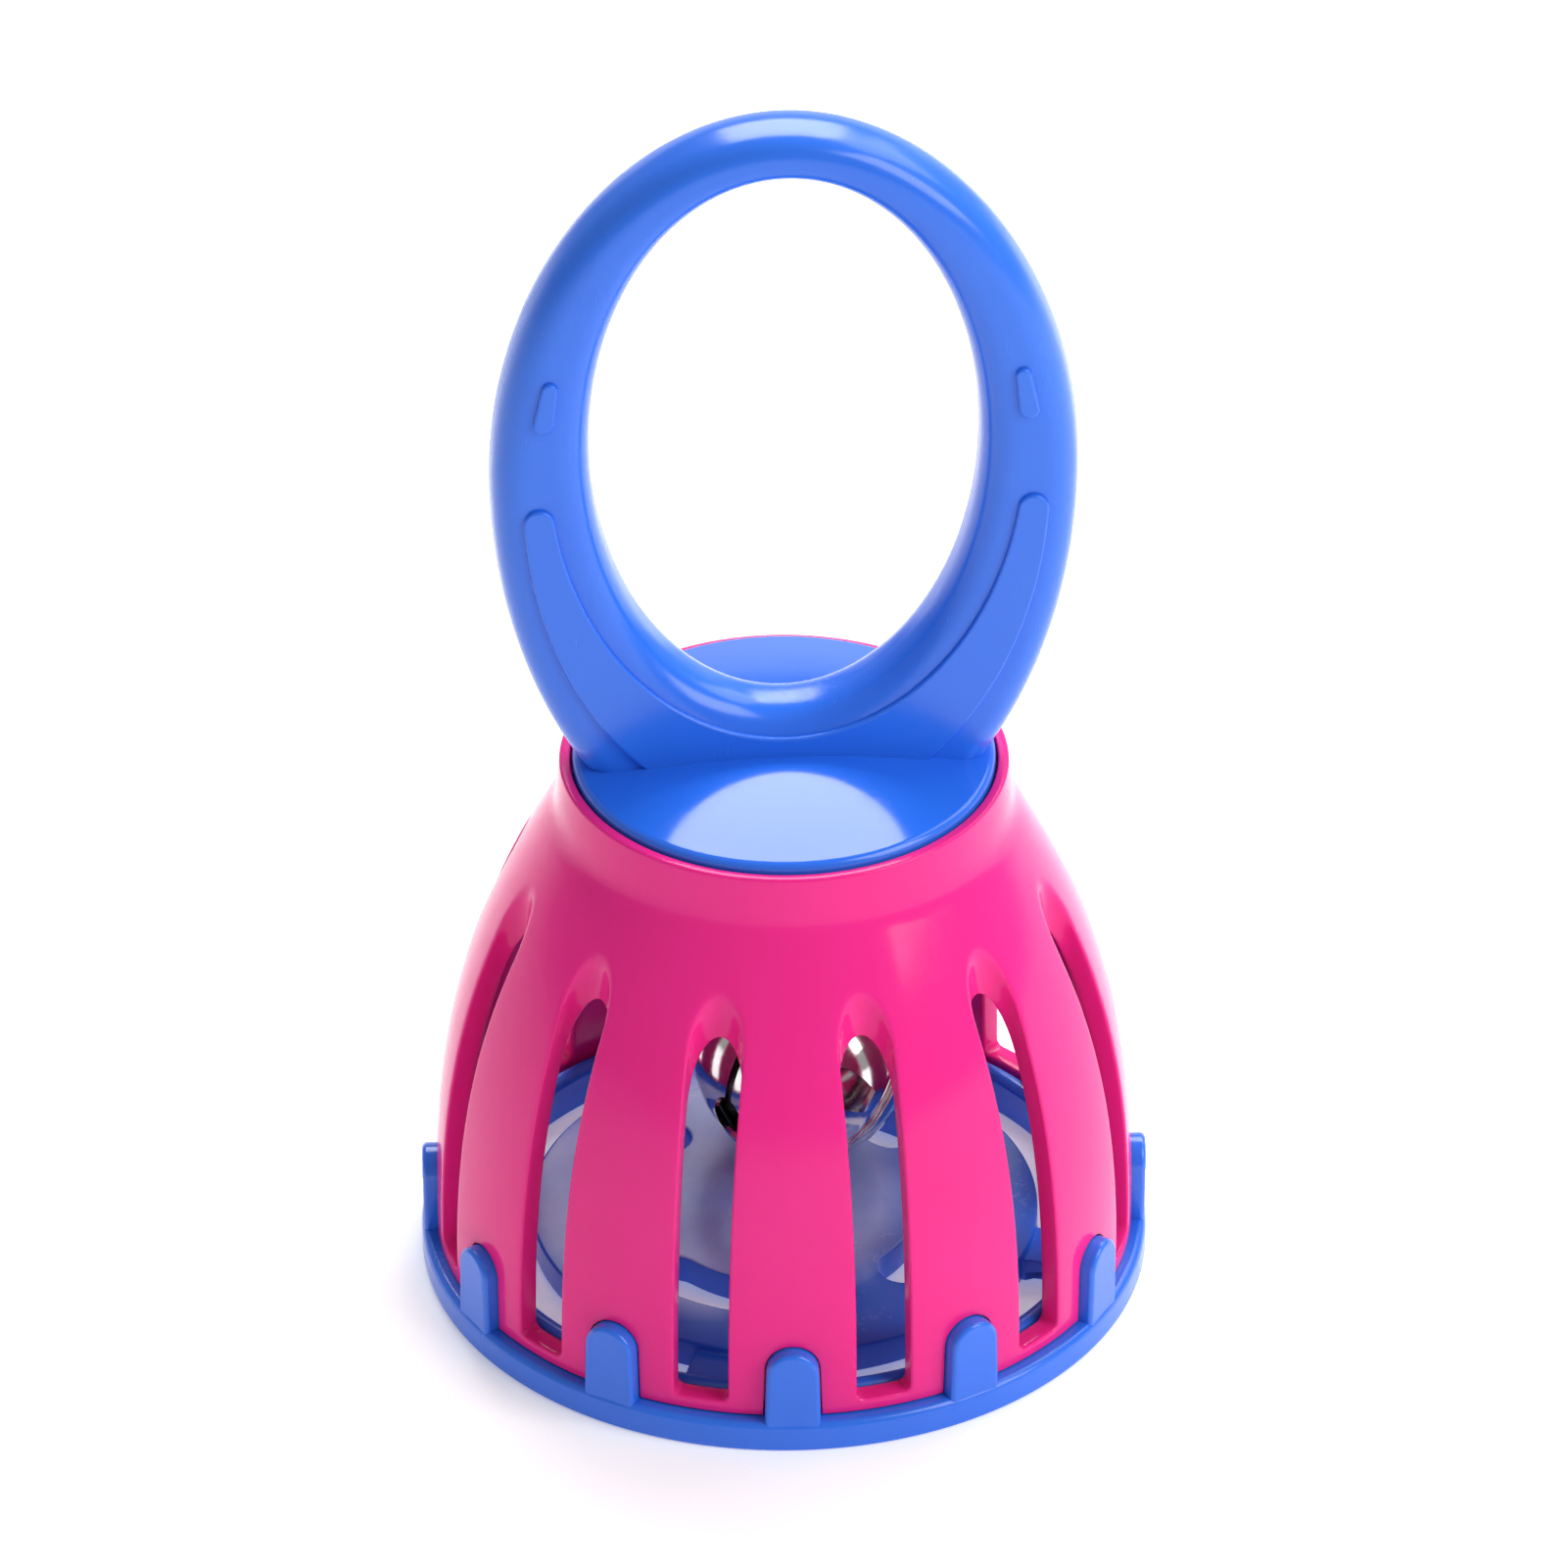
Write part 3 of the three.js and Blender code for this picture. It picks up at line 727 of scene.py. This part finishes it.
TAB_ROOT = 1.5 * MM
TAB_ROUND = 0.55 * MM
POCKET_DEPTH = 0.2 * MM
POCKET_FRONT = 3 * MM
HEEL_ROUND = 0.3 * MM
# how far in from the rim's outside and up from its underside
RIM_HEEL = ((0.4 * MM, 0.0), (0.1 * MM, 0.12 * MM), (0.0, 0.4 * MM))
STEP_ROUND = 0.1 * MM
SPOKE_OVERLAP = 2 * MM
SPOKE_REACH = 0.9 * MM
FLOOR_ROUND = 0.35 * MM


def tab_outline(grow):
    """The front outline of one tab as (across, height), with a round top and slightly flared sides."""
    size = bpy.context.scene.rattle_base
    half = size.tab_width / 2 + grow
    foot = size.tab_foot_width / 2 + grow
    crown = high("base").z - size.tab_width / 2
    top = [(half * math.cos(a), crown + half * math.sin(a)) for a in np.linspace(0, math.pi, 17)]
    return [(foot, TAB_ROOT), *top, (-foot, TAB_ROOT)]


def tab_block(name, grow, inner, outer):
    """One tab at the front of the rim, curved to the rim's round."""
    obj = slab(name, tab_outline(grow), 0, outer - inner)
    for vertex in obj.data.vertices:
        across, up, out = vertex.co
        radius = inner + out
        vertex.co = (across, -math.sqrt(radius**2 - across**2), up)
    return merged(obj)


def tab_cutter(grow):
    """The pockets that the tabs sit in, as a solid to cut from the cage."""
    size = bpy.context.scene.rattle_base
    obj = tab_block("tab_pockets", grow, size.tab_inner - POCKET_DEPTH, size.tab_outer + POCKET_FRONT)
    copied_round(obj, bpy.context.scene.rattle_cage.slots)
    return placed(obj, Matrix.Rotation(bpy.context.scene.rattle_cage.turn, 4, "Z"))


def make_rim():
    """The rim that the rattle stands on, with the upstand that fits inside the cage."""
    size = bpy.context.scene.rattle_base
    middle = (size.rim_inner + size.upstand_radius) / 2
    soft = (size.upstand_radius - size.rim_inner) / 2
    profile = [
        (size.rim_inner, HEEL_ROUND),
        (size.rim_inner + HEEL_ROUND, 0),
        *((size.radius - inwards, up) for inwards, up in RIM_HEEL),
        *arc((size.radius - size.rim_round, size.rim_height - size.rim_round), size.rim_round, 0, 90, 6),
        (size.upstand_radius + STEP_ROUND, size.rim_height),
        (size.upstand_radius, size.rim_height + STEP_ROUND),
        *arc((middle, size.upstand_top - soft), soft, 0, 180, 8),
        (size.rim_inner, HEEL_ROUND),
    ]
    return turned("rim", profile, 240)


def sound_slot():
    """A solid that cuts one arc-shaped sound slot through the floor disc."""
    size = bpy.context.scene.rattle_base
    reach = math.degrees(size.sound_reach)
    half = size.sound_width / 2
    ends = [
        (size.sound_radius * math.cos(math.radians(a)), size.sound_radius * math.sin(math.radians(a)))
        for a in (-90 + reach, -90 - reach)
    ]
    outline = [
        *arc((0, 0), size.sound_radius + half, -90 - reach, -90 + reach, 28),
        *arc(ends[0], half, -90 + reach, 90 + reach, 12)[1:-1],
        *arc((0, 0), size.sound_radius - half, -90 + reach, -90 - reach, 20),
        *arc(ends[1], half, 90 - reach, -90 - reach + 360, 12)[1:-1],
    ]
    return slab("sound_slot", outline, size.floor_under - MM, size.floor_top - size.floor_under + 2 * MM)


def make_floor():
    """The floor disc with its sound slots, and the spokes that hold it in the rim."""
    size = bpy.context.scene.rattle_base
    profile = [
        (0, size.floor_under),
        (size.floor_radius, size.floor_under),
        (size.floor_radius, size.floor_top),
        (0, size.floor_top),
    ]
    disc = turned("floor", profile, 192)
    half = size.spoke_width / 2
    near, far = size.floor_radius - SPOKE_OVERLAP, size.rim_inner + SPOKE_REACH
    outline = [(-half, -near), (-half, -far), (half, -far), (half, -near)]
    spoke = slab("spoke", outline, size.floor_under, size.rim_height - size.floor_under)
    combined(disc, copied_round(spoke, size.spokes), "UNION")
    combined(disc, copied_round(sound_slot(), size.spokes), "DIFFERENCE")
    bevelled(disc, FLOOR_ROUND)
    return placed(disc, Matrix.Rotation(size.floor_turn, 4, "Z"))


class RATTLE_OT_base(bpy.types.Operator):
    """Model the base: rim, upright tabs and slotted floor"""

    bl_idname = "rattle.base"
    bl_label = "Base"

    def execute(self, context):
        size = context.scene.rattle_base
        obj = make_rim()
        tab = bevelled(tab_block("tab", 0, size.tab_inner, size.tab_outer), TAB_ROUND, 4)
        combined(obj, copied_round(tab, context.scene.rattle_cage.slots), "UNION")
        combined(obj, make_floor(), "UNION")
        placed(obj, Matrix.Rotation(context.scene.rattle_cage.turn, 4, "Z"))
        obj.name = obj.data.name = "base_moulding"
        finished(obj, "base", "rattle", finish("blue"))
        return {"FINISHED"}


# ---------------------------------------------------------------- handle

RING_STEPS = 256
EDGE_ROWS = 11
FACE_ROWS = 8
SECTION_STEPS = 2 * (2 * EDGE_ROWS + FACE_ROWS)

EDGE_FULLNESS = 2.3
EDGE_SHARE = 0.44
RING_CUT = 2.4 * MM
BAND_FROM_HOLE = (4.5 * MM, 2.8 * MM)
BAND_FROM_OUTLINE = (3.4 * MM, 8.4 * MM)
BAND_TIP_DROP = 2.8 * MM
BAND_CUT = 2 * MM
MARK_TOP = (24.85 * MM, 112.95 * MM)
MARK_TOP_RADIUS = 0.85 * MM
MARK_FOOT = (25.5 * MM, 108.8 * MM)
MARK_FOOT_RADIUS = 1.1 * MM
RELIEF_ROUND = 0.3 * MM
PLUG_GAP = 0.3 * MM
PLUG_WALL = 2.2 * MM
PLUG_ROUND = 0.3 * MM
BEAD_STAND = 0.55 * MM
BEAD_ROUND = 0.4 * MM
BEAD_MIDDLE = 1.0 * MM


def ring_edges(turn):
    """The points (x, z) of the opening and of the outer outline at one angle round the ring."""
    size = bpy.context.scene.rattle_handle
    across, up = math.cos(turn), math.sin(turn)
    upper = high("handle").z - size.ring_middle
    opening = Vector((size.hole_half_width * across, size.hole_middle + size.hole_half_height * up))
    reach = upper if up > 0 else size.ring_lower
    outline = Vector((size.ring_half_width * across, size.ring_middle + reach * up))
    return opening, outline


def edge_rise(share):
    """How high the rounded edge stands at a share of the way in, as a part of the face's height."""
    share = min(max(share, 0.0), 1.0)
    return (1 - (1 - share) ** EDGE_FULLNESS) ** (1 / EDGE_FULLNESS)


def ring_point(turn, row):
    """A point of the ring's skin: rows run over the front from the opening outwards, then back."""
    size = bpy.context.scene.rattle_handle
    opening, outline = ring_edges(turn)
    width = (outline - opening).length
    soft = min(size.ring_edge, EDGE_SHARE * width)
    half = SECTION_STEPS // 2
    front = row < half
    place = row if front else SECTION_STEPS - row
    if place < EDGE_ROWS:
        inwards = soft * (1 - math.cos(math.pi / 2 * place / EDGE_ROWS))
    elif place <= EDGE_ROWS + FACE_ROWS:
        inwards = mix(soft, width - soft, (place - EDGE_ROWS) / FACE_ROWS)
    else:
        inwards = width - soft * (1 - math.cos(math.pi / 2 * (half - place) / EDGE_ROWS))
    inner_rise, outer_rise = edge_rise(inwards / soft), edge_rise((width - inwards) / soft)
    depth = size.ring_depth / 2 * (inner_rise * outer_rise)
    # the front is a little narrower at its edges, which leaves a step at the parting line
    step = size.parting / width if front else 0
    share = inwards / width + (step * (1 - inner_rise) - step * (1 - outer_rise))
    at = opening.lerp(outline, share)
    return Vector((at.x, -depth if front else depth, at.y))


def make_ring():
    """The oval hand ring: a torus whose rows are laid over the ring's own outlines and section."""
    clear_selection()
    bpy.ops.mesh.primitive_torus_add(major_segments=RING_STEPS, minor_segments=SECTION_STEPS)
    obj = named("ring")
    for vertex in obj.data.vertices:
        turn, row = divmod(vertex.index, SECTION_STEPS)
        vertex.co = ring_point(TAU * turn / RING_STEPS, row)
    merged(obj)
    bpy.ops.object.mode_set(mode="EDIT")
    bpy.ops.mesh.select_all(action="SELECT")
    inside_cap = bpy.context.scene.rattle_handle.cap_edge - RING_CUT
    bpy.ops.mesh.bisect(plane_co=(0, 0, inside_cap), plane_no=(0, 0, 1), use_fill=True, clear_inner=True)
    return merged(obj)


def upright(name, outline, depth):
    """An outline of (x, z) points made into a block that crosses the XZ plane."""
    obj = slab(name, outline, -depth / 2, depth)
    return placed(obj, Matrix.Rotation(math.pi / 2, 4, "X"))


def make_band():
    """The raised band that follows the opening's lower half and ends in round tips."""
    size = bpy.context.scene.rattle_handle
    inner = (size.hole_half_width + BAND_FROM_HOLE[0], size.hole_half_height + BAND_FROM_HOLE[1])
    outer = (size.ring_half_width - BAND_FROM_OUTLINE[0], size.ring_lower - BAND_FROM_OUTLINE[1])
    tip = size.ring_middle - BAND_TIP_DROP
    floor = size.cap_edge - BAND_CUT

    def inner_side(height):
        return inner[0] * math.sqrt(max(0.0, 1 - ((size.hole_middle - height) / inner[1]) ** 2))

    def outer_side(height):
        return outer[0] * math.sqrt(max(0.0, 1 - ((size.ring_middle - height) / outer[1]) ** 2))

    lowest = size.hole_middle - inner[1]
    near, far = inner_side(tip), outer_side(tip)
    right_inner = []
    for a in np.linspace(0, math.acos((size.hole_middle - tip) / inner[1]), 26):
        right_inner.append((inner[0] * math.sin(a), size.hole_middle - inner[1] * math.cos(a)))
    crown = arc(((near + far) / 2, tip), (far - near) / 2, 180, 0, 12)[1:-1]
    right_outer = [(outer_side(height), height) for height in np.linspace(tip, floor, 22)]
    right = [(0, lowest), *right_inner[1:], *crown, *right_outer]
    left = [(-x, z) for x, z in reversed(right[1:])]
    return upright("band", [*right, *left], size.ring_depth + 2 * size.relief)


def make_mark(side):
    """The small raised mark above each tip of the band, narrower at its top."""
    size = bpy.context.scene.rattle_handle
    outline = [
        *arc((side * MARK_TOP[0], MARK_TOP[1]), MARK_TOP_RADIUS, 0, 180, 8),
        *arc((side * MARK_FOOT[0], MARK_FOOT[1]), MARK_FOOT_RADIUS, 180, 360, 8),
    ]
    return upright("mark", outline, size.ring_depth + 2 * size.relief)


def make_cap():
    """The cap disc with its plug and snap bead."""
    size = bpy.context.scene.rattle_handle
    cage = bpy.context.scene.rattle_cage
    bottom = low("handle").z
    under = cage.neck_top + PLUG_GAP
    plug = cage.neck_radius - PLUG_GAP
    inside = plug - PLUG_WALL
    bead = cage.neck_radius + BEAD_STAND
    shoulder = size.cap_radius - size.cap_round
    sphere = (shoulder**2 + size.cap_dome**2) / (2 * size.cap_dome)
    profile = [
        (0, under),
        (inside, under),
        (inside, bottom + PLUG_ROUND),
        (inside + PLUG_ROUND, bottom),
        (plug - PLUG_ROUND, bottom),
        (plug, bottom + PLUG_ROUND),
        *arc((bead - BEAD_ROUND, bottom + BEAD_MIDDLE), BEAD_ROUND, -60, 90, 6),
        (plug, bottom + BEAD_MIDDLE + BEAD_ROUND),
        (plug, under),
        (size.cap_radius, under),
        *arc((shoulder, size.cap_edge - size.cap_round), size.cap_round, 0, 84, 7),
    ]
    for i in range(1, 25):
        r = shoulder * (1 - i / 24)
        profile.append((r, size.cap_edge + size.cap_dome - sphere + math.sqrt(sphere**2 - r**2)))
    return turned("cap", profile, 240)


class RATTLE_OT_handle(bpy.types.Operator):
    """Model the hand ring with its raised details and the cap that plugs the cage"""

    bl_idname = "rattle.handle"
    bl_label = "Handle"

    def execute(self, context):
        obj = make_ring()
        for relief in (make_band(), make_mark(-1), make_mark(1)):
            combined(obj, bevelled(relief, RELIEF_ROUND), "UNION")
        combined(obj, make_cap(), "UNION")
        # welds the slivers, too thin to shade, where the ring meets the dome
        merged(obj, SLIVER_GAP)
        obj.name = obj.data.name = "handle_moulding"
        finished(obj, "handle", "rattle", finish("blue"))
        return {"FINISHED"}


# ---------------------------------------------------------------- bell

CROWN_DIRECTION = (0.5, 0.58, -0.64)
ARM_DIRECTION = (-0.73, -0.66, -0.15)
PELLET_GAP = 0.3 * MM
PELLET_TURN = 35
PELLET_BAND = 0.12
LOOP_GAP = 0.3 * MM
SEAM_ROUND = 0.25 * MM
SEAM_FLAT = 0.2 * MM
SEAM_BEND = (0.05 * MM, 0.55 * MM)
SEAM_TOP = 0.75 * MM
SLOT_DEPTH_SHARE = 0.2


def bell_frame():
    """Places the bell's own axes, crown up, where the CAD bell lies."""
    crown = Vector(CROWN_DIRECTION).normalized()
    arm = Vector(ARM_DIRECTION)
    across = crown.cross(arm).normalized()
    along = across.cross(crown)
    middle = (low("bell_pellet") + high("bell_pellet")) / 2
    size = bpy.context.scene.rattle_bell
    rise = size.radius - size.wall - size.pellet_radius - PELLET_GAP
    matrix = Matrix((along, across, crown)).transposed().to_4x4()
    matrix.translation = middle + Vector((0, 0, rise))
    return matrix


def make_shell(name):
    """One hollow half of the bell round its own +Z pole, with its rolled seam."""
    size = bpy.context.scene.rattle_bell
    seam = size.seam / 2
    inner = size.radius - size.wall
    lip = size.radius + size.flange
    start = math.degrees(math.asin((seam + SEAM_TOP) / size.radius))
    profile = [
        (math.sqrt(inner**2 - seam**2), seam),
        (lip - SEAM_FLAT, seam),
        *arc((lip - SEAM_ROUND, seam + SEAM_ROUND), SEAM_ROUND, -60, 90, 5),
        (size.radius + SEAM_BEND[0], seam + SEAM_BEND[1]),
        *arc((0, 0), size.radius, start, 90, 40),
        *arc((0, 0), inner, 90, math.degrees(math.asin(seam / inner)), 32),
    ]
    return turned(name, profile, 128)


def slot_tools():
    """Two crossed bars and their round ends, which cut the sound slots."""
    size = bpy.context.scene.rattle_bell
    reach = size.radius * math.sin(size.slot_reach)
    half = size.slot_width / 2
    deep = size.radius * SLOT_DEPTH_SHARE
    bar = slab("bar", [(-reach, -half), (reach, -half), (reach, half), (-reach, half)], deep, size.radius)
    other = slab("bar", [(-half, -reach), (half, -reach), (half, reach), (-half, reach)], deep, size.radius)
    combined(bar, other, "UNION")
    for turn in range(0, 360, 90):
        centre = arc((0, 0), reach, turn, turn, 1)[0]
        hole = slab("hole", arc(centre, size.slot_hole, 0, 360 - 15, 23), deep, size.radius)
        combined(bar, hole, "UNION")
    return bar


class RATTLE_OT_bell(bpy.types.Operator):
    """Model the jingle bell: two pressed shells, their slots and the wire loop"""

    bl_idname = "rattle.bell"
    bl_label = "Bell"

    def execute(self, context):
        size = context.scene.rattle_bell
        matrix = bell_frame()
        top = placed(make_shell("bell_crown_shell"), matrix)
        finished(top, "bell_top_shell", "bell", finish("chrome"))
        lower = combined(make_shell("bell_slotted_shell"), slot_tools(), "DIFFERENCE")
        placed(lower, matrix @ Matrix.Rotation(math.pi, 4, "X"))
        finished(lower, "bell_bottom_shell", "bell", finish("chrome"))
        clear_selection()
        bpy.ops.mesh.primitive_torus_add(
            major_segments=64, minor_segments=20, major_radius=size.loop_radius, minor_radius=size.wire
        )
        loop = named("bell_wire_loop")
        stand = size.radius + size.loop_radius + size.wire + LOOP_GAP
        placed(loop, matrix @ Matrix.Translation((0, 0, stand)) @ Matrix.Rotation(math.pi / 2, 4, "Y"))
        finished(loop, "bell_loop", "bell", finish("chrome"))
        return {"FINISHED"}


class RATTLE_OT_pellet(bpy.types.Operator):
    """Model the loose ball that rings the bell"""

    bl_idname = "rattle.pellet"
    bl_label = "Pellet"

    def execute(self, context):
        size = context.scene.rattle_bell
        band = math.degrees(math.asin(PELLET_BAND))
        profile = [
            *arc((0, 0), size.pellet_radius, -90, -band, 14),
            *arc((0, 0), size.pellet_radius, band, 90, 14),
        ]
        obj = turned("bell_ball", profile, 48)
        middle = (low("bell_pellet") + high("bell_pellet")) / 2
        placed(obj, Matrix.Translation(middle) @ Matrix.Rotation(math.radians(PELLET_TURN), 4, "X"))
        finished(obj, "bell_pellet", "pellet", finish("steel"))
        return {"FINISHED"}


# ---------------------------------------------------------------- stage


CAMERA_TARGET = (0.0, 0.0, 59.66 * MM)
CAMERA_PLACE = (-3.7, 33.464, 1.1537)
CAMERA_LENS = 246.2
LIGHTS_CENTRE = (0.0, 0.0, 0.07)
# name, (azimuth, elevation, distance), width, height and power
LIGHTS = (
    ("key_softbox", (60, 36, 0.9), 0.5, 0.7, 5.4),
    ("side_panel", (128, 44, 1.0), 0.6, 0.6, 3.0),
    ("top_softbox", (176.3, 50, 0.9), 0.6, 0.46, 6.6),
    ("back_panel", (178, 9, 1.6), 2.2, 0.6, 3.2),
)
FLOOR_GLOW = 0.25
TENT_STRENGTH = 0.4


def add_light(name, place, width, height, power):
    """A soft oblong area light at a place, facing the lights' centre."""
    clear_selection()
    bpy.ops.object.light_add(type="AREA", location=place)
    light = bpy.context.object
    light.name = light.data.name = name
    light.data.shape = "RECTANGLE"
    light.data.size = width
    light.data.size_y = height
    light.data.energy = power
    light.rotation_euler = (place - Vector(LIGHTS_CENTRE)).to_track_quat("Z", "Y").to_euler()


def around(azimuth, elevation, distance, target):
    """A place at a distance from a target. Azimuth 0 is in front, 90 is to the right, 180 is behind."""
    a, e = math.radians(azimuth), math.radians(elevation)
    step = Vector((math.sin(a) * math.cos(e), -math.cos(a) * math.cos(e), math.sin(e)))
    return Vector(target) + step * distance


class RATTLE_OT_stage(bpy.types.Operator):
    """Set up the camera, the backlit white floor and the soft studio lights"""

    bl_idname = "rattle.stage"
    bl_label = "Stage"

    def execute(self, context):
        scene = context.scene
        scene.view_settings.view_transform = "Standard"
        clear_selection()
        target = Vector(CAMERA_TARGET)
        bpy.ops.object.camera_add(location=around(*CAMERA_PLACE, target))
        camera = context.object
        camera.name = camera.data.name = "studio_camera"
        camera.rotation_euler = (camera.location - target).to_track_quat("Z", "Y").to_euler()
        camera.data.lens = CAMERA_LENS
        camera.data.sensor_width = 36
        camera.data.clip_end = 20
        scene.camera = camera

        clear_selection()
        bpy.ops.mesh.primitive_plane_add(size=8)
        floor = named("studio_floor")
        material, tree, shader = new_material("Backlit white acrylic")
        shader.inputs["Base Color"].default_value = linear(scene.rattle_colours.floor)
        shader.inputs["Roughness"].default_value = 0.9
        shader.inputs["Emission Color"].default_value = linear(scene.rattle_colours.floor)
        shader.inputs["Emission Strength"].default_value = FLOOR_GLOW
        floor.data.materials.append(material)

        for name, place, width, height, power in LIGHTS:
            add_light(name, around(*place, LIGHTS_CENTRE), width, height, power)
        world = bpy.data.worlds.new("White tent")
        scene.world = world
        world.use_nodes = True
        sky = world.node_tree.nodes["Background"]
        sky.inputs["Color"].default_value = (1, 1, 1, 1)
        sky.inputs["Strength"].default_value = TENT_STRENGTH
        return {"FINISHED"}


# ---------------------------------------------------------------- panel and registration


class RATTLE_PT_builder(bpy.types.Panel):
    """Lists the rattle's pieces and its stage"""

    bl_idname = "RATTLE_PT_builder"
    bl_label = "Cage Rattle"
    bl_space_type = "VIEW_3D"
    bl_region_type = "UI"
    bl_category = "Rattle"

    def draw(self, context):
        for operator in OPERATORS:
            self.layout.operator(operator.bl_idname)


SETTINGS = {
    "rattle_cage": RattleCageSizes,
    "rattle_base": RattleBaseSizes,
    "rattle_handle": RattleHandleSizes,
    "rattle_bell": RattleBellSizes,
    "rattle_colours": RattleColours,
}
OPERATORS = (
    RATTLE_OT_stage,
    RATTLE_OT_cage,
    RATTLE_OT_base,
    RATTLE_OT_handle,
    RATTLE_OT_bell,
    RATTLE_OT_pellet,
)


def register():
    for name, group in SETTINGS.items():
        bpy.utils.register_class(group)
        setattr(bpy.types.Scene, name, PointerProperty(type=group))
    for operator in OPERATORS:
        bpy.utils.register_class(operator)
    bpy.utils.register_class(RATTLE_PT_builder)


def unregister():
    bpy.utils.unregister_class(RATTLE_PT_builder)
    for operator in reversed(OPERATORS):
        bpy.utils.unregister_class(operator)
    for name, group in reversed(SETTINGS.items()):
        delattr(bpy.types.Scene, name)
        bpy.utils.unregister_class(group)


def main():
    register()
    bpy.ops.rattle.stage()
    bpy.ops.rattle.cage()
    bpy.ops.rattle.base()
    bpy.ops.rattle.handle()
    bpy.ops.rattle.bell()
    bpy.ops.rattle.pellet()


if __name__ == "__main__":
    main()
